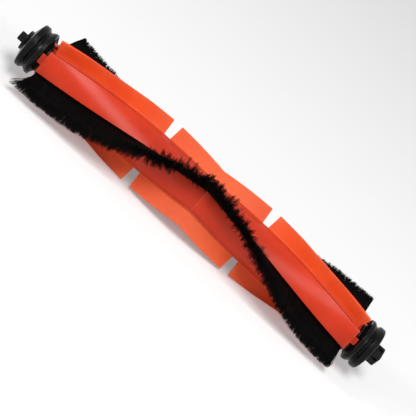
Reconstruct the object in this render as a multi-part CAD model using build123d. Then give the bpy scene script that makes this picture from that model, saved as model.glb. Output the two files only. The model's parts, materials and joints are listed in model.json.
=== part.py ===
"""Main roller brush of a robot vacuum: a core with a twisted V of vanes and bristle rows, and two caps.

The roller lies along X with its middle at the origin. Its drive square is at +X and its free
square, which turns on a ball bearing inside the idle cap, is at -X. Z is up, and the roller lies
on the trimmed edges of its lower vane. All lengths are in millimetres and all angles in degrees.
An angle in a cross-section is counted from +Y towards +Z.
"""

from build123d import *
import math
import os

# Core: four rounded panels between two vane slots and two bristle slots
core_half_length = 82.4
lip_radius = 8.8
panel_mid_radius = 8.1
bore_radius = 5.0
bore_chamfer = 0.4
lip_round = 0.22
twist_at_ends = 85.7
upper_vane_angle = 32.7
row_step = 90.0
full_turn = 360.0
running_gap = 0.05
part_gap = 0.1

# Vanes: soft blades with a wide foot that is held in a slot
vane_tip_radius = 16.0
vane_waist_draw = 0.7
vane_end_draw = 0.25
vane_trim = 1.0
vane_rest_height = 14.9
vane_setback = 0.7
vane_end_slant = 0.8
vane_neck_half = 1.85
vane_foot_half = 2.35
vane_foot_bottom = 6.3
vane_foot_top = 7.25
vane_shoulder_radius = 8.55
vane_root_radius = 10.0
vane_root_half = 0.75
vane_tip_half = 0.5
notch_offset = 26.6
notch_floor_radius = 9.1
notch_floor_width = 3.1
notch_tip_width = 4.4

# Bristle strips: a backing rail in a slanted slot, with tufts along it
bristle_lean = 20.0
tuft_tip_radius = 18.4
tuft_count = 65
tuft_spacing_gap = 0.16
tuft_root_thickness = 0.6
tuft_tip_thickness = 3.7
strip_setback = 0.9
strip_neck_half = 0.7
strip_foot_half = 1.35
strip_foot_depth = 2.5
strip_foot_height = 0.95

# Tabs on the core's ends, and the open windows in the caps that take them. The two ends differ in
# width, so that the drive cap doesn't fit the idle end.
tab_count = 4
tab_first_angle = 164.5
idle_tab_span = 38.0
drive_tab_span = 28.0
tab_inner_radius = 5.1
tab_outer_radius = 7.0
tab_length = 2.1
window_side_gap = 5.5
window_end_gap = 0.35

# Caps: stations are counted outwards from the end face of the core's panels
plug_length = 9.0
plug_wall = 1.35
cap_start = 0.3
drum_radius = 7.3
drum_end = 1.1
flange_radius = 10.05
inner_rim_start = 2.5
inner_rim_end = 3.8
groove_station = 5.65
groove_radius = 8.8
outer_rim_start = 6.8
outer_rim_end = 9.0
inner_rim_round = 0.5
outer_rim_round = 0.7
groove_round = 0.5
drum_round = 0.3
face_radius = 4.6
cap_face_station = 10.7
cap_web_start = 4.0
end_station = 14.45

# Rubber ring that holds each cap in the bore
ring_cord_radius = 0.42
ring_seat_station = -6.0
ring_seat_half_width = 0.5
ring_seat_wall = 0.5

# Ball bearing in the idle cap
bearing_start = 5.3
bearing_width = 4.0
bearing_outer_radius = 4.0
bearing_bore_radius = 1.5
race_wall = 0.72
ball_radius = 0.79
ball_count = 7
ball_gap = 0.05
cage_half_wall = 0.33
cage_rear = 0.25
cage_front = 1.25
shield_thickness = 0.2
shield_recess = 0.12
shield_gap = 0.1
shoulder_bore_radius = 3.0

# Idle stub, its steel pin and what holds it
collar_radius = 4.5
collar_gap = 0.3
collar_thickness = 0.7
hub_radius = 2.2
stub_side = 4.0
stub_chamfer = 0.35
pin_cover = 0.9
pin_tail = 1.5
washer_thickness = 0.4
washer_radius = 2.25
clip_thickness = 0.4
clip_radius = 2.5
clip_groove_depth = 0.3
clip_mouth_half = 0.85
seal_thickness = 0.8
fit_gap = 0.01

# Drive square
drive_side = 6.1
drive_corner_angle = 153.7
drive_root = 0.3
drive_chamfer = 0.45
pocket_length = 2.2
pocket_width = 1.3
pocket_depth = 0.6
pocket_shift = 1.0
square_turns = [0.0, 90.0, 180.0, 270.0]

# Sizes that follow from the ones above
vane_angles = [upper_vane_angle, upper_vane_angle + 2 * row_step]
row_angles = [angle + row_step for angle in vane_angles]
vane_half_length = core_half_length - vane_setback
twist_per_mm = twist_at_ends / core_half_length
strip_half_length = core_half_length - strip_setback
plug_radius = bore_radius - running_gap
cavity_radius = plug_radius - plug_wall
notch_height = vane_tip_radius - notch_floor_radius
pitch_radius = (bearing_outer_radius + bearing_bore_radius) / 2
bearing_end = bearing_start + bearing_width
bearing_middle = (bearing_start + bearing_end) / 2
drive_start = cap_face_station - drive_root
collar_start = cap_face_station + collar_gap
collar_end = collar_start + collar_thickness
washer_start = bearing_start - washer_thickness
clip_start = washer_start - clip_thickness
pin_start = clip_start - pin_tail
pin_end = end_station - pin_cover
far_out = 3 * vane_tip_radius


def spot(radius, angle):
    """Point of the cross-section at a radius and an angle."""
    return Vector(radius * math.cos(math.radians(angle)), radius * math.sin(math.radians(angle)))


def row_point(angle, along, across):
    """Point of the cross-section at a distance along and across a radial row."""
    return spot(along, angle) + spot(across, angle + row_step)


def slant_frame(angle):
    """Place and direction of a bristle row: it starts at the lips and leans from the radius."""
    return Rot(0, 0, angle) * Pos(lip_radius, 0) * Rot(0, 0, bristle_lean)


def slant_point(angle, along, across):
    """Point of the cross-section in the slanted frame of a bristle row."""
    return (slant_frame(angle) * Pos(along, across)).position


def polygon(points):
    """Face with straight edges through the points."""
    return make_face(Polyline(*points, close=True))


def section_slab(start, end, half_width):
    """Straight bar of a row's section, along the row from start to end."""
    return Pos((start + end) / 2, 0) * Rectangle(end - start, 2 * half_width)


def twisted(section, half_length):
    """Both halves of a section that turns by the same angle towards either end."""
    face = (Plane.YZ * section).face()
    right = Solid.extrude_linear_with_rotation(
        face, (0, 0, 0), (half_length, 0, 0), twist_per_mm * half_length
    )
    return Part() + [right, right.mirror(Plane.YZ)]


def turned(outline):
    """Solid of revolution about X of an outline given as (station, radius) points."""
    return revolve(polygon(outline), Axis.X)


def ring(start, end, inner, outer):
    """Plain ring about X between two stations and two radii."""
    return turned([(start, inner), (end, inner), (end, outer), (start, outer)])


def save(name, part):
    """Write one piece to its own file."""
    export_step(part, f"parts/{name}.step")


def at_end(part, side):
    """Move a piece modelled from the panels' end face to the +X end (1) or the -X end (-1)."""
    placed = Pos(core_half_length, 0, 0) * part
    return placed if side > 0 else mirror(placed, Plane.YZ)


def core_section():
    """Outline of the core between its slots, without the bore."""
    edges = []
    for vane, row in zip(vane_angles, row_angles):
        lip_across = vane_neck_half + running_gap
        before = row_point(vane, math.sqrt(lip_radius**2 - lip_across**2), -lip_across)
        after = row_point(vane, math.sqrt(lip_radius**2 - lip_across**2), lip_across)
        near = slant_point(row, 0, -strip_neck_half)
        far = slant_point(row, 0, strip_neck_half)
        following = before.rotate(Axis.Z, 2 * row_step)
        edges += [
            Line(before, after),
            ThreePointArc(after, spot(panel_mid_radius, vane + row_step / 2), near),
            Line(near, far),
            ThreePointArc(far, spot(panel_mid_radius, row + row_step / 2), following),
        ]
    return make_face(edges)


def vane_slot(angle):
    """Slot that holds a vane's foot, open to the outside."""
    wide = section_slab(
        vane_foot_bottom - running_gap, vane_foot_top + running_gap, vane_foot_half + running_gap
    )
    neck = section_slab(vane_foot_bottom, far_out, vane_neck_half + running_gap)
    return Rot(0, 0, angle) * (wide + neck)


def strip_slot(angle):
    """Slanted slot that holds a bristle strip's backing, open to the outside."""
    wide = section_slab(
        -strip_foot_depth - running_gap,
        strip_foot_height - strip_foot_depth + running_gap,
        strip_foot_half + running_gap,
    )
    neck = section_slab(-strip_foot_depth, far_out, strip_neck_half)
    return slant_frame(angle) * (wide + neck)


def ring_sector(inner, outer, start, end, middle_angle, span):
    """Sector of a ring about X."""
    half = Rot(0, 0, middle_angle)
    band = Circle(outer) - Circle(inner)
    wedge = polygon([(0, 0), spot(far_out, -span / 2), spot(far_out, span / 2)])
    return Pos(start, 0, 0) * extrude(Plane.YZ * (half * (band & wedge)), end - start)


def tab_angles():
    """Angles of the tabs round the core's end."""
    return [tab_first_angle + full_turn / tab_count * index for index in range(tab_count)]


def roller_core():
    """Core with its twisted panels, slots, bore and end tabs."""
    section = core_section()
    for angle in vane_angles:
        section -= vane_slot(angle)
    for angle in row_angles:
        section -= strip_slot(angle)
    lips = [v for v in section.vertices() if Vector(v).length > lip_radius - 2 * lip_round]
    section = fillet(lips, lip_round)
    core = twisted(section.face(), core_half_length)
    core -= Pos(-core_half_length, 0, 0) * extrude(Plane.YZ * Circle(bore_radius), 2 * core_half_length)
    mouth = turned(
        [
            (-bore_chamfer, 0),
            (-bore_chamfer, bore_radius),
            (0, bore_radius + bore_chamfer),
            (bore_chamfer, bore_radius + bore_chamfer),
            (bore_chamfer, 0),
        ]
    )
    for side, span in ((1, drive_tab_span), (-1, idle_tab_span)):
        core -= at_end(mouth, side)
        for angle in tab_angles():
            core += at_end(ring_sector(tab_inner_radius, tab_outer_radius, 0, tab_length, angle, span), side)
    return core


def vane_envelope():
    """Solid of revolution that gives a vane its slanted ends and its free edge, which is drawn in."""
    slant_foot = vane_half_length - vane_end_slant
    middle = (notch_offset + vane_half_length) / 2
    waist = (middle, vane_tip_radius - vane_waist_draw)
    tip = (vane_half_length, vane_tip_radius - vane_end_draw)
    shoulder = notch_offset + notch_tip_width / 2
    side = [
        Polyline((0, 0), (slant_foot, 0), (slant_foot, lip_radius), tip),
        Spline(tip, waist, (shoulder, vane_tip_radius)),
        Polyline((shoulder, vane_tip_radius), (0, vane_tip_radius), (0, 0)),
    ]
    half = revolve(make_face(side), Axis.X)
    return Part() + [half, half.mirror(Plane.YZ)]


def vane(angle):
    """Soft blade with its foot and two open notches. It is made over-wide and trimmed to its free edge,
    and then flat where it meets the floor."""
    half_outline = [
        (vane_foot_bottom, vane_foot_half),
        (vane_foot_top, vane_foot_half),
        (vane_foot_top, vane_neck_half),
        (vane_shoulder_radius, vane_neck_half),
    ]
    left = [(along, -across) for along, across in half_outline]
    root = (vane_root_radius, vane_root_half)
    bend = (
        (vane_shoulder_radius + vane_root_radius) / 2 - vane_tip_half / 2,
        (vane_neck_half + vane_root_half) / 2 - vane_tip_half / 2,
    )
    edges = [
        Polyline(*left),
        ThreePointArc(left[-1], (bend[0], -bend[1]), (root[0], -root[1])),
        Polyline(
            (root[0], -root[1]),
            (vane_tip_radius + vane_trim, -vane_tip_half),
            (vane_tip_radius + vane_trim, vane_tip_half),
            root,
        ),
        ThreePointArc(root, bend, half_outline[-1]),
        Polyline(*reversed(half_outline)),
        Line(half_outline[0], left[0]),
    ]
    blade = twisted(Rot(0, 0, angle) * make_face(edges), vane_half_length)
    blade &= vane_envelope()
    blade &= Box(2 * core_half_length, far_out, 2 * vane_rest_height)
    for side in (1, -1):
        notch = polygon(
            [
                (-notch_floor_width / 2, notch_floor_radius),
                (notch_floor_width / 2, notch_floor_radius),
                (notch_tip_width / 2, notch_floor_radius + notch_height),
                (notch_tip_width / 2, far_out),
                (-notch_tip_width / 2, far_out),
                (-notch_tip_width / 2, notch_floor_radius + notch_height),
            ]
        )
        cutter = extrude(notch, 2 * vane_neck_half, both=True)
        turn = angle + twist_per_mm * notch_offset
        blade -= Pos(side * notch_offset, 0, 0) * Rot(turn, 0, 0) * cutter
    return blade


def bristle_strip(angle):
    """Backing rail that grips the bristles at the bottom of the slanted slot."""
    rail = section_slab(-strip_foot_depth, strip_foot_height - strip_foot_depth, strip_foot_half)
    return twisted(slant_frame(angle) * rail, strip_half_length)


def tuft_reach():
    """Length from the lips to the tufts' tips, along the slanted row."""
    lean = math.radians(bristle_lean)
    across = lip_radius * math.sin(lean)
    return math.sqrt(tuft_tip_radius**2 - across**2) - lip_radius * math.cos(lean)


def tuft(length, root_along):
    """One tuft as a wedge, in the slanted frame with X along the bristles and Z along the roller."""
    ends = [
        (root_along, tuft_root_thickness),
        (tuft_reach(), tuft_tip_thickness),
    ]
    wires = [
        (Plane(origin=(along, 0, 0), x_dir=(0, 1, 0), z_dir=(1, 0, 0)) * Rectangle(thick, length)).wire()
        for along, thick in ends
    ]
    return Solid.make_loft(wires, ruled=True)


def bristles(angle):
    """All tufts of one row, each turned with the core's twist."""
    pitch = 2 * strip_half_length / tuft_count
    root_along = strip_foot_height - strip_foot_depth + part_gap
    one = tuft(pitch - tuft_spacing_gap, root_along)
    tufts = []
    for index in range(tuft_count):
        station = (index - (tuft_count - 1) / 2) * pitch
        turn = angle + twist_per_mm * abs(station)
        tufts.append(Pos(station, 0, 0) * (Plane.YZ.location * (slant_frame(turn) * one)))
    return Compound(children=tufts)


def spool(outer_face, span):
    """Cap body: plug, drum with a window for each tab of this span, and two rims. outer_face ends it."""
    ring_floor = cavity_radius + ring_seat_wall
    inner_line = [
        (-plug_length, cavity_radius),
        (-plug_length, plug_radius),
        (ring_seat_station - ring_seat_half_width, plug_radius),
        (ring_seat_station - ring_seat_half_width, ring_floor),
        (ring_seat_station + ring_seat_half_width, ring_floor),
        (ring_seat_station + ring_seat_half_width, plug_radius),
        (cap_start, plug_radius),
        (cap_start, drum_radius),
    ]
    rims = [
        (drum_end, drum_radius),
        (inner_rim_start, flange_radius),
        (inner_rim_end, flange_radius),
        (groove_station, groove_radius),
        (outer_rim_start, flange_radius),
        (outer_rim_end, flange_radius),
    ]
    outline = polygon(inner_line + rims + outer_face)
    rounds = [drum_round, inner_rim_round, inner_rim_round, groove_round, outer_rim_round, outer_rim_round]
    for point, radius in zip(rims, rounds):
        corner = min(outline.vertices(), key=lambda v, p=point: (Vector(v) - Vector(*p)).length)
        outline = fillet(corner, radius)
    body = revolve(outline, Axis.X)
    for angle in tab_angles():
        body -= ring_sector(
            bore_radius,
            flange_radius + part_gap,
            cap_start - part_gap,
            tab_length + window_end_gap,
            angle,
            span + 2 * window_side_gap,
        )
    return body


def idle_cap():
    """Cap at the free end, bored for the bearing and its seal."""
    seat = bearing_outer_radius + fit_gap
    return spool(
        [
            (cap_face_station, face_radius),
            (cap_face_station, seat),
            (bearing_start, seat),
            (bearing_start, shoulder_bore_radius),
            (cap_web_start, shoulder_bore_radius),
            (cap_web_start, cavity_radius),
        ],
        idle_tab_span,
    )


def drive_cap():
    """Cap at the driven end, with its square moulded on."""
    body = spool(
        [
            (cap_face_station, face_radius),
            (cap_face_station, 0),
            (cap_web_start, 0),
            (cap_web_start, cavity_radius),
        ],
        drive_tab_span,
    )
    square = extrude(Plane.YZ * Rectangle(drive_side, drive_side), end_station - drive_start)
    square = chamfer(square.faces().sort_by(Axis.X)[-1].edges(), drive_chamfer)
    pocket = Box(pocket_length, pocket_width, 2 * pocket_depth)
    middle = (cap_face_station + end_station) / 2 - drive_start
    for turn in square_turns:
        square -= Rot(turn, 0, 0) * Pos(middle, pocket_shift, drive_side / 2) * pocket
    corner_turn = drive_corner_angle - square_turns[1] / 2
    return body + Pos(drive_start, 0, 0) * Rot(corner_turn, 0, 0) * square


def grip_ring():
    """Rubber ring in the groove of a cap's plug."""
    floor = cavity_radius + ring_seat_wall
    middle = (floor + plug_radius + fit_gap) / 2
    return revolve(Pos(ring_seat_station, middle) * Circle(ring_cord_radius), Axis.X)


def race_groove():
    """Round track for the balls."""
    track = Pos(bearing_middle, pitch_radius) * Circle(ball_radius + ball_gap)
    return revolve(track, Axis.X)


def ball_places():
    """Centres of the balls, as locations round the axis."""
    return [
        Pos(bearing_middle, 0, 0) * Rot(full_turn / ball_count * index, 0, 0) * Pos(0, pitch_radius, 0)
        for index in range(ball_count)
    ]


def bearing_pieces():
    """Rings, balls, cage and shields of the ball bearing, by node name."""
    outer_inner = bearing_outer_radius - race_wall
    inner_outer = bearing_bore_radius + race_wall
    cage = ring(
        bearing_middle - cage_rear,
        bearing_middle + cage_front,
        pitch_radius - cage_half_wall,
        pitch_radius + cage_half_wall,
    )
    for place in ball_places():
        cage -= place * Sphere(ball_radius + ball_gap)
    shields = [
        ring(start, start + shield_thickness, inner_outer + shield_gap, outer_inner - fit_gap)
        for start in (
            bearing_start + shield_recess,
            bearing_end - shield_recess - shield_thickness,
        )
    ]
    return {
        "bearing_outer_ring": ring(bearing_start, bearing_end, outer_inner, bearing_outer_radius)
        - race_groove(),
        "bearing_inner_ring": ring(bearing_start, bearing_end, bearing_bore_radius, inner_outer)
        - race_groove(),
        "bearing_balls": Compound(children=[place * Sphere(ball_radius) for place in ball_places()]),
        "bearing_cage": cage,
        "bearing_shields": Compound(children=shields),
    }


def idle_stub():
    """Free square with its collar and hub, hollow for the steel pin."""
    body = turned(
        [
            (bearing_end, 0),
            (bearing_end, hub_radius),
            (collar_start, hub_radius),
            (collar_start, collar_radius),
            (collar_end, collar_radius),
            (collar_end, 0),
        ]
    )
    square = extrude(Plane.YZ * Rectangle(stub_side, stub_side), end_station - collar_start)
    square = chamfer(square.faces().sort_by(Axis.X)[-1].edges(), stub_chamfer)
    body += Pos(collar_start, 0, 0) * Rot(drive_corner_angle, 0, 0) * square
    hole = extrude(Plane.YZ * Circle(bearing_bore_radius), pin_end - bearing_end)
    return body - Pos(bearing_end, 0, 0) * hole


def stub_pin():
    """Steel pin with the groove for its clip."""
    radius = bearing_bore_radius - fit_gap
    floor = radius - clip_groove_depth
    return turned(
        [
            (pin_start, 0),
            (pin_start, radius),
            (clip_start - fit_gap, radius),
            (clip_start - fit_gap, floor),
            (washer_start, floor),
            (washer_start, radius),
            (pin_end, radius),
            (pin_end, 0),
        ]
    )


def retaining_clip():
    """Open clip that snaps into the pin's groove."""
    floor = bearing_bore_radius - clip_groove_depth
    flat = Circle(clip_radius) - Circle(floor)
    flat -= Pos(clip_radius / 2, 0) * Rectangle(clip_radius, 2 * clip_mouth_half)
    return Pos(clip_start, 0, 0) * extrude(Plane.YZ * flat, clip_thickness)


def hair_seal():
    """Felt ring between the bearing and the stub's collar."""
    return ring(
        bearing_end + part_gap,
        bearing_end + part_gap + seal_thickness,
        hub_radius + running_gap,
        bearing_outer_radius - running_gap,
    )


os.makedirs("parts", exist_ok=True)

save("roller_core", roller_core())
for name, angle in zip(("vane_upper", "vane_lower"), vane_angles):
    save(name, vane(angle))
for place, angle in zip(("front", "rear"), row_angles):
    save(f"bristle_strip_{place}", bristle_strip(angle))
    save(f"bristles_{place}", bristles(angle))

idle_pieces = {
    "idle_cap": idle_cap(),
    "grip_ring_idle": grip_ring(),
    "idle_stub": idle_stub(),
    "stub_pin": stub_pin(),
    "thrust_washer": ring(washer_start, bearing_start, bearing_bore_radius, washer_radius),
    "retaining_clip": retaining_clip(),
    "hair_seal": hair_seal(),
    **bearing_pieces(),
}
for name, piece in idle_pieces.items():
    save(name, at_end(piece, -1))
for name, piece in {"drive_cap": drive_cap(), "grip_ring_drive": grip_ring()}.items():
    save(name, at_end(piece, 1))
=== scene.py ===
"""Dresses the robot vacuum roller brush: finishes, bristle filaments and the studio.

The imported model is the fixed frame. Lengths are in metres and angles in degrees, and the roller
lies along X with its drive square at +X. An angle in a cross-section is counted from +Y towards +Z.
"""

import json
import logging
import math
from dataclasses import dataclass, field
from enum import Enum
from functools import cached_property

import bmesh
import bpy
import numpy as np
from mathutils import Matrix, Vector


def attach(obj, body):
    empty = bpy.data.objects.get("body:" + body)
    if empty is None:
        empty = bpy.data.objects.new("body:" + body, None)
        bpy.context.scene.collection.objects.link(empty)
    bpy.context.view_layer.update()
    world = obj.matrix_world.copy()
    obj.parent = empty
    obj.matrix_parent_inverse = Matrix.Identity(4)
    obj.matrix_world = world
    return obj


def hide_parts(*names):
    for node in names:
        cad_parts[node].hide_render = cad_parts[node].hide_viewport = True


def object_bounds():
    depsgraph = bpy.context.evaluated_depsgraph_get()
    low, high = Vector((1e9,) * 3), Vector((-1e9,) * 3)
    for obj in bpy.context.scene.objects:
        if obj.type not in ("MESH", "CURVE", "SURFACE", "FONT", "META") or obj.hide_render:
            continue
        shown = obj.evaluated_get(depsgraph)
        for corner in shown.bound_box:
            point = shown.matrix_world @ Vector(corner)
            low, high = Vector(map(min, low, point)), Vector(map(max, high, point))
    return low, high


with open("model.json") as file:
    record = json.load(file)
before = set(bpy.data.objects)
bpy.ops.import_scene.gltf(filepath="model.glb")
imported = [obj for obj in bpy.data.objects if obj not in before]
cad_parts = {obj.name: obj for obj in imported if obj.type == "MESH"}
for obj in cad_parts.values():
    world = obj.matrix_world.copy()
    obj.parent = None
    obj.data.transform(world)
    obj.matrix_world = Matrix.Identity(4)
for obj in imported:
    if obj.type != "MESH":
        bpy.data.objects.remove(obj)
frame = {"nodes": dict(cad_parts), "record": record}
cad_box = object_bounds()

log = logging.getLogger("roller_brush")

MM = 0.001
TWIST_PER_METRE = 1040.0
PHOTO_SIDE = 416
FLOW_STRETCH = 0.12
# how dark the painted shade at the vane roots is, as a share of the deep colour
ROOT_SHADE_LEVEL = 0.25
LINT_COLOUR = (0.55, 0.53, 0.5)


class Side(Enum):
    """End of the roller: the sign of its X."""

    IDLE = -1
    DRIVE = 1


class Slot(Enum):
    """Material slots of the record."""

    CORE = "core_plastic"
    VANE = "vane_rubber"
    BRISTLE = "bristle_nylon"
    BLACK = "black_plastic"
    SOFT_BLACK = "black_rubber"
    FELT = "felt"
    BEARING = "bearing_steel"
    SHEET = "sheet_steel"


class Graph:
    """Thin wrapper round a node tree that adds and joins nodes in one line each."""

    def __init__(self, tree: bpy.types.NodeTree) -> None:
        """Keep the tree.

        Args:
            tree: the node tree of a material or a group.
        """
        self.tree = tree

    def add(self, kind: str, **settings: object) -> bpy.types.Node:
        """Add a node.

        Args:
            kind: Blender's node type.
            settings: attributes of the node, or values of its inputs by name.

        Returns:
            The new node.
        """
        node = self.tree.nodes.new(kind)
        for name, value in settings.items():
            label = name.replace("_", " ")
            if hasattr(node, name):
                setattr(node, name, value)
            else:
                node.inputs[label].default_value = value
        return node

    def join(self, source: bpy.types.NodeSocket, target: bpy.types.NodeSocket) -> None:
        """Link two sockets."""
        self.tree.links.new(source, target)

    def math(self, operation: str, first: object, second: object = 0.0) -> bpy.types.NodeSocket:
        """Add a Math node.

        Args:
            operation: the node's operation.
            first: a socket or a number.
            second: a socket or a number.

        Returns:
            The node's output.
        """
        node = self.add("ShaderNodeMath", operation=operation)
        for index, value in enumerate((first, second)):
            if isinstance(value, bpy.types.NodeSocket):
                self.join(value, node.inputs[index])
            else:
                node.inputs[index].default_value = value
        return node.outputs[0]

    def spread(self, value: bpy.types.NodeSocket, low: float, high: float, to_low: float,
               to_high: float) -> bpy.types.NodeSocket:
        """Map a value from one range to another, clamped.

        Args:
            value: the socket to map.
            low: start of the range that is read.
            high: end of the range that is read.
            to_low: result at low.
            to_high: result at high.

        Returns:
            The mapped value.
        """
        node = self.add("ShaderNodeMapRange")
        self.join(value, node.inputs["Value"])
        ends = {"From Min": low, "From Max": high, "To Min": to_low, "To Max": to_high}
        for name, number in ends.items():
            node.inputs[name].default_value = number
        return node.outputs[0]

    def blend(self, factor: bpy.types.NodeSocket, first: object, second: object) -> bpy.types.NodeSocket:
        """Mix two colours.

        Args:
            factor: 0 gives the first colour and 1 the second.
            first: a socket or an RGB triple.
            second: a socket or an RGB triple.

        Returns:
            The mixed colour.
        """
        node = self.add("ShaderNodeMix", data_type="RGBA")
        self.join(factor, node.inputs[0])
        for index, value in ((6, first), (7, second)):
            if isinstance(value, bpy.types.NodeSocket):
                self.join(value, node.inputs[index])
            else:
                node.inputs[index].default_value = (*value, 1.0)
        return node.outputs[2]

    def place(self) -> bpy.types.NodeSocket:
        """Place of the shaded point in the object's own frame."""
        return self.add("ShaderNodeTexCoord").outputs["Object"]

    def split(self, vector: bpy.types.NodeSocket) -> bpy.types.NodeOutputs:
        """Take a vector apart.

        Args:
            vector: the vector's socket.

        Returns:
            The outputs X, Y and Z.
        """
        node = self.add("ShaderNodeSeparateXYZ")
        self.join(vector, node.inputs[0])
        return node.outputs

    def stretched(self, vector: bpy.types.NodeSocket,
                  scale: tuple[float, float, float]) -> bpy.types.NodeSocket:
        """Scale a vector along its axes.

        Args:
            vector: the vector's socket.
            scale: factor of each axis.

        Returns:
            The scaled vector.
        """
        node = self.add("ShaderNodeMapping", Scale=scale)
        self.join(vector, node.inputs["Vector"])
        return node.outputs["Vector"]

    def noise(self, vector: bpy.types.NodeSocket, **settings: float) -> bpy.types.Node:
        """Add a noise texture.

        Args:
            vector: the place that it reads.
            settings: values of its inputs.

        Returns:
            The noise node.
        """
        node = self.add("ShaderNodeTexNoise", **settings)
        self.join(vector, node.inputs["Vector"])
        return node

    def layer(self, below: bpy.types.NodeSocket, colour: object, mask: bpy.types.Node,
              share: float) -> bpy.types.NodeSocket:
        """Lay a colour over another where a mask says so.

        Args:
            below: the colour underneath.
            colour: the colour on top.
            mask: a group with the output Mask.
            share: how far the colour covers at the mask's full value.

        Returns:
            The mixed colour.
        """
        return self.blend(self.math("MULTIPLY", mask.outputs["Mask"], share), below, colour)


class Effects:
    """Shader node groups that several finishes share, each built at its first use."""

    def _begin(self, name: str, inputs: dict[str, float], outputs: tuple[str, ...]) -> tuple:
        """Open a new group with float sockets.

        Args:
            name: the group's name.
            inputs: input names with their default values.
            outputs: output names.

        Returns:
            The graph, its input node and its output node.
        """
        tree = bpy.data.node_groups.new(name, "ShaderNodeTree")
        for label, value in inputs.items():
            socket = tree.interface.new_socket(label, in_out="INPUT", socket_type="NodeSocketFloat")
            socket.default_value = value
        for label in outputs:
            tree.interface.new_socket(label, in_out="OUTPUT", socket_type="NodeSocketFloat")
        graph = Graph(tree)
        return graph, graph.add("NodeGroupInput"), graph.add("NodeGroupOutput")

    @cached_property
    def mould_grain(self) -> bpy.types.NodeTree:
        """Fine spark texture of a mould, with slow drift of tone and gloss.

        Returns:
            The group, with outputs Height, Tone and Gloss.
        """
        graph, given, result = self._begin(
            "mould_grain", {"Grain Scale": 3000.0, "Drift Scale": 60.0}, ("Height", "Tone", "Gloss")
        )
        place = graph.place()
        fine = graph.noise(place, Detail=3.0, Roughness=0.6)
        slow = graph.noise(place, Detail=4.0, Roughness=0.55)
        flow = graph.stretched(place, (FLOW_STRETCH, 1.0, 1.0))
        smear = graph.noise(flow, Detail=5.0, Roughness=0.7, Distortion=0.4)
        graph.join(given.outputs["Grain Scale"], fine.inputs["Scale"])
        graph.join(given.outputs["Drift Scale"], slow.inputs["Scale"])
        graph.join(graph.math("MULTIPLY", given.outputs["Drift Scale"], 5.0), smear.inputs["Scale"])
        for node, label in ((fine, "Height"), (slow, "Tone"), (smear, "Gloss")):
            graph.join(node.outputs["Fac"], result.inputs[label])
        return graph.tree

    @cached_property
    def edge_highlight(self) -> bpy.types.NodeTree:
        """Mask of painted highlights on the sharp edges, broken up by noise.

        Returns:
            The group, with the output Mask.
        """
        graph, given, result = self._begin(
            "edge_highlight", {"Start": 0.53, "End": 0.62, "Break Scale": 700.0}, ("Mask",)
        )
        shape = graph.add("ShaderNodeNewGeometry")
        noise = graph.noise(graph.place(), Detail=4.0, Roughness=0.6)
        graph.join(given.outputs["Break Scale"], noise.inputs["Scale"])
        ramp = graph.add("ShaderNodeMapRange")
        graph.join(shape.outputs["Pointiness"], ramp.inputs["Value"])
        graph.join(given.outputs["Start"], ramp.inputs["From Min"])
        graph.join(given.outputs["End"], ramp.inputs["From Max"])
        broken = graph.spread(noise.outputs["Fac"], 0.3, 0.7, 0.35, 1.0)
        graph.join(graph.math("MULTIPLY", ramp.outputs[0], broken), result.inputs["Mask"])
        return graph.tree

    @cached_property
    def crease_highlight(self) -> bpy.types.NodeTree:
        """Mask of a painted highlight line along the crease that runs round the roller at its middle.

        Returns:
            The group, with the output Mask.
        """
        graph, given, result = self._begin("crease_highlight", {"Half Width": 0.25 * MM}, ("Mask",))
        away = graph.math("ABSOLUTE", graph.split(graph.place())["X"])
        share = graph.math("DIVIDE", away, given.outputs["Half Width"])
        graph.join(graph.spread(share, 0.4, 1.0, 1.0, 0.0), result.inputs["Mask"])
        return graph.tree

    @cached_property
    def middle_highlight(self) -> bpy.types.NodeTree:
        """Mask of a broad painted highlight towards the middle of the roller, uneven at its ends.

        Returns:
            The group, with the output Mask.
        """
        graph, given, result = self._begin("middle_highlight", {"Half Length": 52.0 * MM}, ("Mask",))
        place = graph.place()
        cloud = graph.noise(place, Scale=45.0, Detail=3.0)
        away = graph.math("ABSOLUTE", graph.split(place)["X"])
        share = graph.math("DIVIDE", away, given.outputs["Half Length"])
        uneven = graph.math("ADD", share, graph.spread(cloud.outputs["Fac"], 0.3, 0.7, -0.15, 0.15))
        graph.join(graph.spread(uneven, 0.1, 1.0, 1.0, 0.0), result.inputs["Mask"])
        return graph.tree

    @cached_property
    def painted_root_shade(self) -> bpy.types.NodeTree:
        """Mask of painted shade where a vane leaves the core.

        Returns:
            The group, with the output Mask.
        """
        graph, given, result = self._begin("painted_root_shade", {"Radius": 9.0 * MM, "Fade": 0.5 * MM}, ("Mask",))
        axes = graph.split(graph.place())
        squares = [graph.math("POWER", axes[axis], 2.0) for axis in ("Y", "Z")]
        radius = graph.math("SQRT", graph.math("ADD", *squares))
        beyond = graph.math("SUBTRACT", radius, given.outputs["Radius"])
        share = graph.math("DIVIDE", beyond, given.outputs["Fade"])
        graph.join(graph.spread(share, 0.0, 1.0, 1.0, 0.0), result.inputs["Mask"])
        return graph.tree

    @cached_property
    def fine_dust(self) -> bpy.types.NodeTree:
        """Specks of lint that lie on faces turned upwards.

        Returns:
            The group, with the output Mask.
        """
        graph, given, result = self._begin("fine_dust", {"Speck Scale": 900.0, "Cover": 0.3}, ("Mask",))
        shape = graph.add("ShaderNodeNewGeometry")
        place = graph.place()
        cloud = graph.noise(place, Scale=140.0, Detail=3.0)
        specks = graph.add("ShaderNodeTexVoronoi", feature="F1", Randomness=1.0)
        graph.join(place, specks.inputs["Vector"])
        graph.join(given.outputs["Speck Scale"], specks.inputs["Scale"])
        dots = graph.spread(specks.outputs["Distance"], 0.1, 0.22, 1.0, 0.0)
        patches = graph.spread(cloud.outputs["Fac"], 0.5, 0.65, 0.0, 1.0)
        upward = graph.spread(graph.split(shape.outputs["Normal"])["Z"], -0.1, 0.9, 0.2, 1.0)
        mask = graph.math("MULTIPLY", graph.math("MULTIPLY", dots, patches), upward)
        graph.join(graph.math("MULTIPLY", mask, given.outputs["Cover"]), result.inputs["Mask"])
        return graph.tree


EFFECTS = Effects()


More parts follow.
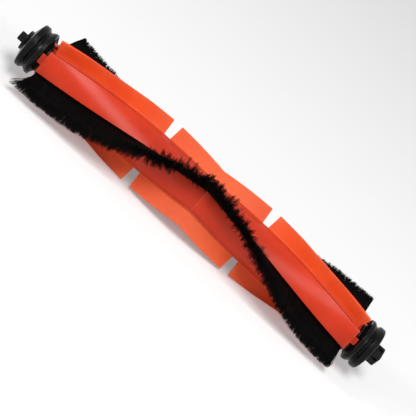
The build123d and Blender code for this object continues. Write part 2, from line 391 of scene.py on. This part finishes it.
def place_group(graph: Graph, tree: bpy.types.NodeTree, **values: float) -> bpy.types.Node:
    """Place a shared group in a material.

    Args:
        graph: the material's graph.
        tree: the group.
        values: values of the group's inputs, with underscores for spaces.

    Returns:
        The group node.
    """
    node = graph.add("ShaderNodeGroup", node_tree=tree)
    for name, value in values.items():
        node.inputs[name.replace("_", " ")].default_value = value
    return node


def new_material(name: str) -> tuple[bpy.types.Material, Graph, bpy.types.Node]:
    """Make a material with an empty Principled shader.

    Args:
        name: the material's name.

    Returns:
        The material, its graph and its shader node.
    """
    material = bpy.data.materials.new(name)
    material.use_nodes = True
    graph = Graph(material.node_tree)
    return material, graph, material.node_tree.nodes["Principled BSDF"]


def add_bump(graph: Graph, height: bpy.types.NodeSocket, shader: bpy.types.Node, strength: float,
             depth: float) -> None:
    """Feed a height to the shader's normal.

    Args:
        graph: the material's graph.
        height: the height's socket.
        shader: the Principled shader.
        strength: the bump's strength.
        depth: the bump's depth in metres.
    """
    bump = graph.add("ShaderNodeBump", Strength=strength, Distance=depth)
    graph.join(height, bump.inputs["Height"])
    graph.join(bump.outputs[0], shader.inputs["Normal"])


def seen_rays(graph: Graph) -> bpy.types.NodeSocket:
    """1 on rays that show the surroundings: from the camera, in a reflection or through something.

    Args:
        graph: the graph of a world or of a stage material.

    Returns:
        The value, 0 or 1.
    """
    path = graph.add("ShaderNodeLightPath")
    seen = graph.math("MAXIMUM", path.outputs["Is Camera Ray"], path.outputs["Is Glossy Ray"])
    return graph.math("MAXIMUM", seen, path.outputs["Is Transmission Ray"])


@dataclass(frozen=True)
class MouldedFinish:
    """Moulded plastic or rubber: a colour that drifts, fine grain, painted edge highlights and a little
    lint.
    """

    name: str
    deep: tuple[float, float, float]
    pale: tuple[float, float, float]
    # pale colour of the painted highlights: on the edges, along the middle crease and towards the middle
    highlight_colour: tuple[float, float, float]
    roughness: float
    gloss_spread: float = 0.06
    grain_scale: float = 2600.0
    grain_depth: float = 0.00002
    grain_strength: float = 0.25
    edge_highlight_share: float = 0.5
    dust_cover: float = 0.15
    coat: float = 0.0
    specular: float = 0.5
    crease_highlight_share: float = 0.0
    painted_shade_share: float = 0.0
    middle_highlight_share: float = 0.0

    def build(self) -> bpy.types.Material:
        """Make the material.

        Returns:
            The finished material.
        """
        material, graph, shader = new_material(self.name)
        grain = place_group(graph, EFFECTS.mould_grain, Grain_Scale=self.grain_scale)
        edge_highlights = place_group(graph, EFFECTS.edge_highlight)
        dust = place_group(graph, EFFECTS.fine_dust, Cover=self.dust_cover)
        tone = graph.spread(grain.outputs["Tone"], 0.3, 0.7, 0.0, 1.0)
        body = graph.blend(tone, self.deep, self.pale)
        # painted highlights on the sharp edges
        lit = graph.layer(graph.blend(tone, self.deep, self.pale), self.highlight_colour, edge_highlights, self.edge_highlight_share)
        # broad painted highlight on the vanes towards the roller's middle
        if self.middle_highlight_share:
            lit = graph.layer(lit, self.highlight_colour, place_group(graph, EFFECTS.middle_highlight), self.middle_highlight_share)
        # painted highlight line along the crease at the roller's middle
        if self.crease_highlight_share:
            lit = graph.layer(lit, self.highlight_colour, place_group(graph, EFFECTS.crease_highlight), self.crease_highlight_share)
        # painted shade where the vane leaves the core
        if self.painted_shade_share:
            painted_shade_colour = tuple(channel * ROOT_SHADE_LEVEL for channel in self.deep)
            lit = graph.layer(lit, painted_shade_colour, place_group(graph, EFFECTS.painted_root_shade), self.painted_shade_share)
        dusty = graph.blend(dust.outputs["Mask"], lit, LINT_COLOUR)
        graph.join(dusty, shader.inputs["Base Color"])
        low, high = self.roughness - self.gloss_spread, self.roughness + self.gloss_spread
        graph.join(graph.spread(grain.outputs["Gloss"], 0.3, 0.7, low, high), shader.inputs["Roughness"])
        add_bump(graph, grain.outputs["Height"], shader, self.grain_strength, self.grain_depth)
        shader.inputs["Coat Weight"].default_value = self.coat
        shader.inputs["Specular IOR Level"].default_value = self.specular
        return material


@dataclass(frozen=True)
class SteelFinish:
    """Turned or pressed steel with fine lines round the axis."""

    name: str
    colour: tuple[float, float, float] = (0.55, 0.55, 0.57)
    roughness: float = 0.28
    line_scale: float = 2400.0
    line_stretch: float = 0.06

    def build(self) -> bpy.types.Material:
        """Make the material.

        Returns:
            The finished material.
        """
        material, graph, shader = new_material(self.name)
        drawn = graph.stretched(graph.place(), (1.0, self.line_stretch, self.line_stretch))
        lines = graph.noise(drawn, Scale=self.line_scale, Detail=4.0)
        dark = tuple(channel * 0.7 for channel in self.colour)
        graph.join(graph.blend(lines.outputs["Fac"], dark, self.colour), shader.inputs["Base Color"])
        low, high = self.roughness - 0.08, self.roughness + 0.12
        graph.join(graph.spread(lines.outputs["Fac"], 0.3, 0.7, low, high), shader.inputs["Roughness"])
        add_bump(graph, lines.outputs["Fac"], shader, 0.2, 0.00001)
        shader.inputs["Metallic"].default_value = 1.0
        return material


@dataclass(frozen=True)
class FeltFinish:
    """Dark felt: matted fibres that catch light at a flat angle."""

    name: str
    colour: tuple[float, float, float] = (0.05, 0.05, 0.052)
    fibre_scale: float = 5200.0

    def build(self) -> bpy.types.Material:
        """Make the material.

        Returns:
            The finished material.
        """
        material, graph, shader = new_material(self.name)
        fibres = graph.noise(graph.place(), Scale=self.fibre_scale, Detail=6.0, Distortion=1.5)
        pale = tuple(channel * 2.6 for channel in self.colour)
        graph.join(graph.blend(fibres.outputs["Fac"], self.colour, pale), shader.inputs["Base Color"])
        add_bump(graph, fibres.outputs["Fac"], shader, 0.8, 0.00008)
        shader.inputs["Roughness"].default_value = 0.95
        shader.inputs["Sheen Weight"].default_value = 0.4
        return material


@dataclass(frozen=True)
class FilamentFinish:
    """Black nylon filaments, each a little different, slightly paler towards the tip, a few with a painted
    reddish glint.
    """

    name: str
    root: tuple[float, float, float] = (0.002, 0.0018, 0.0018)
    tip: tuple[float, float, float] = (0.003, 0.0026, 0.0026)
    painted_glint: tuple[float, float, float] = (0.014, 0.008, 0.007)
    roughness: float = 0.5
    specular: float = 0.07

    def build(self) -> bpy.types.Material:
        """Make the material.

        Returns:
            The finished material.
        """
        material, graph, shader = new_material(self.name)
        along = graph.add("ShaderNodeAttribute", attribute_name="along")
        strand = graph.add("ShaderNodeAttribute", attribute_name="strand")
        body = graph.blend(along.outputs["Fac"], self.root, self.tip)
        # a few strands get a painted reddish glint of the core seen between them
        share = graph.spread(strand.outputs["Fac"], 0.8, 1.0, 0.0, 0.8)
        graph.join(graph.blend(share, body, self.painted_glint), shader.inputs["Base Color"])
        low, high = self.roughness - 0.1, self.roughness + 0.12
        graph.join(graph.spread(strand.outputs["Fac"], 0.0, 1.0, low, high), shader.inputs["Roughness"])
        shader.inputs["Specular IOR Level"].default_value = self.specular
        return material


def section_point(station: np.ndarray, angle: np.ndarray, radius: np.ndarray) -> np.ndarray:
    """Points at a station, an angle and a radius about the roller's axis.

    Args:
        station: X of each point.
        angle: angle from +Y towards +Z, in degrees.
        radius: distance from the axis.

    Returns:
        The points, one row each.
    """
    turn = np.radians(angle)
    return np.stack([station, radius * np.cos(turn), radius * np.sin(turn)], axis=-1)


@dataclass
class RowEnd:
    """How one half of a bristle row leans from the radius, and how far its last tips lean out."""

    leans: tuple[float, ...]
    lean_out: float
    loose_share: float = 0.0


@dataclass
class Strands:
    """Filaments of one row: the tuft and lock of each, its root's place and how unruly it is.

    The offset is counted along the roller from the middle of the tuft.
    """

    tuft: np.ndarray
    lock: np.ndarray
    station: np.ndarray
    offset: np.ndarray
    wild: np.ndarray


@dataclass
class BristleRow:
    """One row of bristles: fine filaments in small locks, which stand in the core's slanted slot.

    Towards the middle of the roller the locks are pointed and stand up unevenly. Towards the ends
    they close up to a dense sheet. The pairs lock_fan, lock_tilt, lock_length and lock_droop hold the
    spread where the row is calm and what its full wildness adds. The other fields of fan, tilt and
    length hold plain spreads.
    """

    name: str
    node: str
    root_angle: float
    ends: dict[Side, RowEnd]
    seed: int
    half_length: float = 81.5 * MM
    tuft_count: int = 65
    locks_per_tuft: int = 32
    per_lock: int = 8
    lip_radius: float = 8.8 * MM
    root_radius: float = 7.6 * MM
    tip_radius: float = 18.35 * MM
    lean_stations: tuple[float, ...] = (0.0, 14.0, 26.0, 40.0, 60.0, 75.0, 81.5)
    fan: float = 13.0
    wild_fan: float = 3.0
    slot_half: float = 0.42 * MM
    thickness: float = 0.075 * MM
    wild_start: float = 24.0 * MM
    wild_end: float = 50.0 * MM
    calm: float = 0.07
    height_limit: float = 14.85 * MM
    floor_gap: float = 0.1 * MM
    stray_share: float = 0.34
    stray_turn: float = 10.0
    stray_fade: float = 42.0 * MM
    flare_start: float = 0.93
    flare_power: float = 1.3
    loose_start: float = 0.975
    loose_push: float = 3.2 * MM
    lock_hold: float = 0.85
    lock_fan: tuple[float, float] = (0.8, 2.6)
    lock_tilt: tuple[float, float] = (0.8, 12.0)
    lock_length: tuple[float, float] = (0.008, 0.07)
    lock_droop: tuple[float, float] = (1.0, 3.0)
    strand_fan: float = 1.3
    strand_tilt: float = 1.4
    strand_length: float = 0.013
    tuft_fan: float = 0.9
    tuft_length: float = 0.008
    tuft_dome: float = 0.03
    edge_fan: float = 0.7
    length_range: tuple[float, float] = (0.78, 1.02)
    trim_share: float = 0.97
    tip_share: float = 0.65
    rings: int = 4
    corners: int = 3

    @property
    def locks(self) -> int:
        """Number of locks in the row."""
        return self.tuft_count * self.locks_per_tuft

    @property
    def pitch(self) -> float:
        """Distance from tuft to tuft along the roller."""
        return 2 * self.half_length / self.tuft_count

    def _wildness(self, station: np.ndarray) -> np.ndarray:
        """How unruly the bristles are: 1 at the middle of the roller, and calm near its ends.

        Args:
            station: X of each filament's root.

        Returns:
            A number from calm to 1 for each.
        """
        share = np.clip((np.abs(station) - self.wild_start) / (self.wild_end - self.wild_start), 0.0, 1.0)
        return 1.0 - (1.0 - self.calm) * share * share * (3.0 - 2.0 * share)

    def _lean(self, station: np.ndarray) -> np.ndarray:
        """Middle lean of the bristles from the radius, along the row.

        Args:
            station: X of each filament's root.

        Returns:
            The lean of each, in degrees.
        """
        idle, drive = (
            np.interp(np.abs(station) / MM, self.lean_stations, self.ends[side].leans)
            for side in (Side.IDLE, Side.DRIVE)
        )
        return np.where(station < 0, idle, drive)

    def _trimmed(self, angle: np.ndarray) -> np.ndarray:
        """Length from the lips to the cylinder that the row is trimmed to.

        Args:
            angle: lean of each filament from the radius, in degrees.

        Returns:
            The lengths.
        """
        turn = np.radians(angle)
        across = self.lip_radius * np.sin(turn)
        return np.sqrt(self.tip_radius**2 - across**2) - self.lip_radius * np.cos(turn)

    def _strands(self, source: np.random.Generator) -> Strands:
        """Stand the filaments along the slot.

        Args:
            source: the row's random numbers.

        Returns:
            The filaments' places.
        """
        lock = np.repeat(np.arange(self.locks), self.per_lock)
        tuft = lock // self.locks_per_tuft
        middle = (tuft - (self.tuft_count - 1) / 2) * self.pitch
        offset = source.uniform(-0.5, 0.5, len(lock)) * self.pitch
        station = middle + offset
        return Strands(tuft, lock, station, offset, self._wildness(station))

    def _shared(self, source: np.random.Generator, strands: Strands,
                spread: tuple[float, float]) -> np.ndarray:
        """Random numbers that the filaments of a lock share.

        Args:
            source: the row's random numbers.
            strands: the filaments.
            spread: their spread where the row is calm, and what its full wildness adds.

        Returns:
            A number for each filament.
        """
        calm, added = spread
        return source.normal(0.0, 1.0, self.locks)[strands.lock] * (calm + added * strands.wild)

    def _fan(self, source: np.random.Generator, strands: Strands, place: np.ndarray) -> np.ndarray:
        """Angle by which each filament fans out from the middle lean, with the stray locks.

        Args:
            source: the row's random numbers.
            strands: the filaments.
            place: place of each in the fan, from -1 to 1.

        Returns:
            The angles, in degrees.
        """
        count = len(strands.lock)
        half_fan = self.fan + self.wild_fan * strands.wild
        fan = half_fan * place
        fan += self._shared(source, strands, self.lock_fan) + source.normal(0.0, self.strand_fan, count)
        fan += source.normal(0.0, self.tuft_fan, self.tuft_count)[strands.tuft]
        fan = np.minimum(fan, half_fan + source.normal(0.0, self.edge_fan, count))
        stray = source.random(self.locks)[strands.lock] < self.stray_share * strands.wild
        reach = self.stray_turn * np.clip(1.0 - np.abs(strands.station) / self.stray_fade, 0.0, 1.0)
        return fan - np.where(stray, source.exponential(1.0, self.locks)[strands.lock] * reach, 0.0)

    def _length(self, source: np.random.Generator, strands: Strands, lean: np.ndarray) -> np.ndarray:
        """Length of each filament beyond the lips.

        Args:
            source: the row's random numbers.
            strands: the filaments.
            lean: lean of each from the radius, in degrees.

        Returns:
            The lengths.
        """
        share = 1.0 + self._shared(source, strands, self.lock_length)
        share += (
            source.normal(0.0, self.strand_length, len(strands.lock))
            + source.normal(0.0, self.tuft_length, self.tuft_count)[strands.tuft]
        )
        share -= self.tuft_dome * (2.0 * strands.offset / self.pitch) ** 4
        return self._trimmed(lean) * np.clip(share, *self.length_range)

    def _end_push(self, source: np.random.Generator, strands: Strands) -> tuple[np.ndarray, np.ndarray]:
        """How far the tips near the row's ends lean out along the roller.

        Args:
            source: the row's random numbers.
            strands: the filaments.

        Returns:
            The push of each tip, and whether it is in a loose lock.
        """
        side_sign = np.sign(strands.station)
        share = np.abs(strands.station) / self.half_length
        idle, drive = self.ends[Side.IDLE], self.ends[Side.DRIVE]
        lean_out = np.where(side_sign < 0, idle.lean_out, drive.lean_out)
        loose_share = np.where(side_sign < 0, idle.loose_share, drive.loose_share)
        flare = np.clip((share - self.flare_start) / (1.0 - self.flare_start), 0.0, 1.0)
        loose = (share > self.loose_start) & (source.random(self.locks)[strands.lock] < loose_share)
        push = lean_out * flare**self.flare_power + np.where(loose, self.loose_push, 0.0)
        return side_sign * push, loose

    def paths(self) -> tuple[np.ndarray, np.ndarray]:
        """Lay out every filament.

        Returns:
            The filaments' points, shaped (filaments, rings, 3), and a number from 0 to 1 for each.
        """
        source = np.random.default_rng(self.seed)
        strands = self._strands(source)
        count = len(strands.lock)
        lock_offset = source.uniform(-0.5, 0.5, self.locks)[strands.lock] * self.pitch
        lock_across = source.uniform(-1.0, 1.0, self.locks)[strands.lock]
        across = source.uniform(-1.0, 1.0, count)
        hold = self.lock_hold * strands.wild
        fan = self._fan(source, strands, hold * lock_across + (1.0 - hold) * across)
        lean = self._lean(strands.station) + fan
        tilt = self._shared(source, strands, self.lock_tilt) + source.normal(0.0, self.strand_tilt, count)
        length = self._length(source, strands, lean)
        droop = self._shared(source, strands, self.lock_droop)
        end_push, loose = self._end_push(source, strands)

        slot_angle = self.root_angle + TWIST_PER_METRE * np.abs(strands.station)
        base = section_point(strands.station, slot_angle, np.full(count, self.lip_radius))
        rise = np.sin(np.radians(slot_angle + lean + droop)) * length
        over = np.abs(base[:, 2] + rise) > self.height_limit
        room = (self.height_limit - np.abs(base[:, 2])) / np.maximum(np.abs(rise), MM)
        length = np.where(over, length * room * source.uniform(self.trim_share, 1.0, count), length)

        inner = self.root_radius - self.lip_radius
        points = np.zeros((count, self.rings, 3))
        for ring in range(self.rings):
            along = ring / (self.rings - 1)
            angle = np.radians(slot_angle + lean * along**0.4 + droop * along**2)
            direction = np.stack([np.zeros(count), np.cos(angle), np.sin(angle)], axis=-1)
            side = np.stack([np.zeros(count), -np.sin(angle), np.cos(angle)], axis=-1)
            run = inner + (length - inner) * along
            place = base + direction * run[:, None] + side * (across * self.slot_half)[:, None]
            gathered = (lock_offset - strands.offset) * hold * along**1.3 - 0.1 * strands.offset * along**2
            pushed = end_push * along ** np.where(loose, 2.4, 1.6)
            place[:, 0] = strands.station + gathered + pushed + np.tan(np.radians(tilt)) * length * along
            points[:, ring] = place
        points[:, :, 2] = np.maximum(points[:, :, 2], cad_box[0].z + self.floor_gap)
        return points, source.random(count)

    def mesh(self, name: str, points: np.ndarray, strand: np.ndarray) -> bpy.types.Mesh:
        """Turn filaments into one mesh of thin tapered tubes.

        Args:
            name: the mesh's name.
            points: the filaments' points, shaped (filaments, rings, 3).
            strand: a number from 0 to 1 for each filament.

        Returns:
            The mesh, with the attributes along and strand.
        """
        count = len(points)
        steps = np.gradient(points, axis=1)
        steps /= np.linalg.norm(steps, axis=2, keepdims=True)
        first = np.cross(steps, np.array([1.0, 0.0, 0.0]))
        first /= np.linalg.norm(first, axis=2, keepdims=True)
        second = np.cross(steps, first)
        taper = np.linspace(1.0, self.tip_share, self.rings)[None, :, None, None]
        turn = 2 * np.pi * np.arange(self.corners) / self.corners
        swing = first[:, :, None, :] * np.cos(turn)[None, None, :, None]
        swing = swing + second[:, :, None, :] * np.sin(turn)[None, None, :, None]
        vertices = (points[:, :, None, :] + swing * self.thickness * taper).reshape(-1, 3)
        base = (np.arange(count) * self.rings * self.corners)[:, None, None]
        ring = (np.arange(self.rings - 1) * self.corners)[None, :, None]
        corner = np.arange(self.corners)[None, None, :]
        following = (corner + 1) % self.corners
        low = base + ring
        quads = np.stack(
            [low + corner, low + following, low + self.corners + following, low + self.corners + corner],
            axis=-1,
        ).reshape(-1, 4)
        tips = base[:, 0] + (self.rings - 1) * self.corners + np.arange(self.corners)[None, :]
        roots = base[:, 0] + np.arange(self.corners)[None, ::-1]
        mesh = bpy.data.meshes.new(name)
        mesh.from_pydata(vertices.tolist(), [], quads.tolist() + tips.tolist() + roots.tolist())
        per_vertex = self.rings * self.corners
        strand_layer = mesh.attributes.new("strand", "FLOAT", "POINT")
        strand_layer.data.foreach_set("value", np.repeat(strand, per_vertex).astype(np.float32))
        heights = np.repeat(np.linspace(0.0, 1.0, self.rings), self.corners)
        along_layer = mesh.attributes.new("along", "FLOAT", "POINT")
        along_layer.data.foreach_set("value", np.tile(heights, count).astype(np.float32))
        mesh.shade_smooth()
        mesh.update()
        return mesh

    def build(self, finish: bpy.types.Material) -> list[bpy.types.Object]:
        """Make the row, one piece for each half of the V, and let it stand for its CAD node.

        Args:
            finish: the filaments' material.

        Returns:
            The new objects.
        """
        points, strand = self.paths()
        pieces = []
        for side in Side:
            own = np.sign(points[:, 0, 0] + MM * MM) == side.value
            name = f"{self.name}_{side.name.lower()}"
            piece = bpy.data.objects.new(name, self.mesh(name, points[own], strand[own]))
            bpy.context.scene.collection.objects.link(piece)
            piece.data.materials.append(finish)
            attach(piece, "roller")
            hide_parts(self.node)
            pieces.append(piece)
        return pieces


@dataclass
class Wardrobe:
    """Finishes of the whole brush, and the slot that each CAD node takes."""

    materials: dict[Slot, bpy.types.Material] = field(default_factory=dict)

    def stock(self) -> None:
        """Make every finish once."""
        # Each moulded finish lists its deep, pale and painted highlight colours.
        finishes = {
            Slot.CORE: MouldedFinish(
                "core_red_orange", (0.60, 0.034, 0.009), (0.72, 0.046, 0.014), (0.90, 0.16, 0.09), 0.34,
                grain_strength=0.2, dust_cover=0.06, specular=0.22, crease_highlight_share=0.35,
            ),
            Slot.VANE: MouldedFinish(
                "vane_orange", (0.90, 0.063, 0.008), (1.0, 0.090, 0.015), (1.0, 0.23, 0.10), 0.48,
                grain_scale=1500.0, grain_strength=0.12, dust_cover=0.05, specular=0.2, painted_shade_share=0.5,
                middle_highlight_share=0.5,
            ),
            Slot.BLACK: MouldedFinish(
                "cap_black", (0.003, 0.003, 0.0033), (0.006, 0.006, 0.0065), (0.02, 0.02, 0.021), 0.22,
                grain_strength=0.3, dust_cover=0.1, specular=0.11,
            ),
            Slot.SOFT_BLACK: MouldedFinish(
                "ring_black", (0.014, 0.014, 0.014), (0.024, 0.024, 0.024), (0.04, 0.04, 0.04), 0.6,
            ),
            Slot.FELT: FeltFinish("seal_felt"),
            Slot.BEARING: SteelFinish("bearing_steel"),
            Slot.SHEET: SteelFinish("pressed_steel", (0.48, 0.48, 0.49), 0.36, 1600.0),
            Slot.BRISTLE: FilamentFinish("bristle_black"),
        }
        self.materials = {slot: finish.build() for slot, finish in finishes.items()}

    def dress(self) -> None:
        """Give each CAD node the finish of its slot."""
        for entry in frame["record"]["subparts"]:
            node = frame["nodes"][entry["node"]]
            node.data.materials.clear()
            node.data.materials.append(self.materials[Slot(entry["material_slot"])])
            log.info("dressed %s", entry["node"])


@dataclass(frozen=True)
class SoftBox:
    """Rectangular soft lamp that points at the roller: its place, size in metres and power in watts."""

    name: str
    place: tuple[float, float, float]
    size: tuple[float, float]
    power: float

    def build(self) -> None:
        """Add the lamp."""
        data = bpy.data.lights.new(self.name, "AREA")
        data.shape = "RECTANGLE"
        data.size, data.size_y = self.size
        data.energy = self.power
        place = Vector(self.place)
        aimed = (-place).to_track_quat("-Z", "Y").to_matrix().to_4x4()
        lamp = bpy.data.objects.new(self.name, data)
        lamp.matrix_world = Matrix.Translation(place) @ aimed
        bpy.context.scene.collection.objects.link(lamp)


@dataclass
class Studio:
    """Camera, floor, world and lamps.

    The floor's lift is what its white adds on rays that show the surroundings, near and far off.
    """

    distance: float = 0.5987
    focal_pixels: float = 1494.3
    elevation: float = 27.87
    azimuth: float = 3.13
    roll: float = 43.54
    centre_x: float = 201.27
    centre_y: float = 197.81
    sensor: float = 36.0
    floor_half: float = 3.0
    floor_lift: float = 0.225
    far_lift: float = 0.73
    lift_start: float = 0.45
    lift_end: float = 1.8
    world_strength: float = 0.19
    soft_boxes: tuple[SoftBox, ...] = (
        SoftBox("key_box", (0.0, -0.5, 0.9), (0.3, 0.5), 5.9),
        SoftBox("left_box", (-0.85, -0.6, 0.3), (0.16, 0.36), 1.0),
        SoftBox("right_box", (0.85, -0.6, 0.3), (0.16, 0.36), 0.9),
        SoftBox("left_edge", (-0.95, -0.18, 0.36), (0.12, 0.26), 2.4),
        SoftBox("right_edge", (0.95, -0.18, 0.36), (0.12, 0.26), 2.4),
    )

    def camera(self) -> None:
        """Place the camera so that the roller's centre falls on its place in the picture."""
        azimuth, elevation = math.radians(self.azimuth), math.radians(self.elevation)
        flat = math.cos(elevation)
        back = Vector((-math.sin(azimuth) * flat, -math.cos(azimuth) * flat, math.sin(elevation)))
        ahead = -back
        level = ahead.cross(Vector((0, 0, 1))).normalized()
        above = level.cross(ahead)
        turn = math.radians(self.roll)
        right = level * math.cos(turn) + above * math.sin(turn)
        up = above * math.cos(turn) - level * math.sin(turn)
        scale = self.distance / self.focal_pixels
        middle = PHOTO_SIDE / 2
        aim = right * (middle - self.centre_x) * scale + up * (self.centre_y - middle) * scale
        place = back * self.distance
        look = (aim - place).normalized()
        right = (right - look * right.dot(look)).normalized()
        up = right.cross(look)
        data = bpy.data.cameras.new("photo_camera")
        data.sensor_width = self.sensor
        data.lens = self.focal_pixels * self.sensor / PHOTO_SIDE
        data.clip_start = 0.01
        data.clip_end = 20.0
        camera = bpy.data.objects.new("photo_camera", data)
        turned = Matrix((right, up, -look)).transposed().to_4x4()
        camera.matrix_world = Matrix.Translation(place) @ turned
        bpy.context.scene.collection.objects.link(camera)
        bpy.context.scene.camera = camera

    def floor(self) -> None:
        """Large pale floor under the roller."""
        mesh = bpy.data.meshes.new("studio_floor")
        shape = bmesh.new()
        half, height = self.floor_half, cad_box[0].z
        signs = ((-1, -1), (1, -1), (1, 1), (-1, 1))
        shape.faces.new([shape.verts.new((x * half, y * half, height)) for x, y in signs])
        shape.to_mesh(mesh)
        shape.free()
        floor = bpy.data.objects.new("studio_floor", mesh)
        bpy.context.scene.collection.objects.link(floor)
        material, graph, shader = new_material("floor_white")
        place = graph.place()
        noise = graph.noise(place, Scale=30.0, Detail=2.0)
        white = graph.blend(noise.outputs["Fac"], (0.93, 0.93, 0.93), (0.95, 0.95, 0.95))
        graph.join(white, shader.inputs["Base Color"])
        shader.inputs["Roughness"].default_value = 0.9
        shader.inputs["Specular IOR Level"].default_value = 0.0
        shader.inputs["Emission Color"].default_value = (1.0, 1.0, 1.0, 1.0)
        away = graph.add("ShaderNodeVectorMath", operation="LENGTH")
        graph.join(place, away.inputs[0])
        ends = (self.lift_start, self.lift_end, self.floor_lift, self.far_lift)
        lift = graph.spread(away.outputs["Value"], *ends)
        graph.join(graph.math("MULTIPLY", seen_rays(graph), lift), shader.inputs["Emission Strength"])
        mesh.materials.append(material)

    def world(self) -> None:
        """White surroundings that light the roller softly from all round."""
        world = bpy.data.worlds.new("studio_white")
        world.use_nodes = True
        graph = Graph(world.node_tree)
        background = world.node_tree.nodes["Background"]
        level = graph.spread(seen_rays(graph), 0.0, 1.0, self.world_strength, 1.0)
        graph.join(level, background.inputs["Strength"])
        background.inputs["Color"].default_value = (1.0, 1.0, 1.0, 1.0)
        bpy.context.scene.world = world

    def build(self) -> None:
        """Set up the whole studio."""
        bpy.context.scene.view_settings.view_transform = "Standard"
        self.camera()
        self.floor()
        self.world()
        for soft_box in self.soft_boxes:
            soft_box.build()
        log.info("studio ready")


def main() -> None:
    """Build every sub-assembly in order and report it."""
    logging.basicConfig(level=logging.INFO, format="%(message)s")
    wardrobe = Wardrobe()
    wardrobe.stock()
    wardrobe.dress()
    rows = [
        BristleRow(
            "bristle_filaments_front", "bristles_front", 122.7,
            {
                Side.IDLE: RowEnd((10.0, 7.0, 16.0, 29.5, 34.0, 22.5, 10.5), 2.8 * MM, 0.3),
                Side.DRIVE: RowEnd((10.0, 7.0, 9.0, 18.0, 29.0, 24.0, 12.0), 1.0 * MM),
            },
            seed=11, height_limit=15.25 * MM,
        ),
        BristleRow(
            "bristle_filaments_rear", "bristles_rear", 302.7,
            {
                Side.IDLE: RowEnd((12.0, 9.0, 18.0, 28.0, 23.0, 10.0, 2.0), -4.4 * MM),
                Side.DRIVE: RowEnd((12.0, 9.0, 20.0, 37.0, 36.0, 20.0, 9.0), -1.2 * MM),
            },
            seed=23,
        ),
    ]
    for row in rows:
        for piece in row.build(wardrobe.materials[Slot.BRISTLE]):
            log.info("built %s with %d faces", piece.name, len(piece.data.polygons))
    Studio().build()


if __name__ == "__main__":
    main()
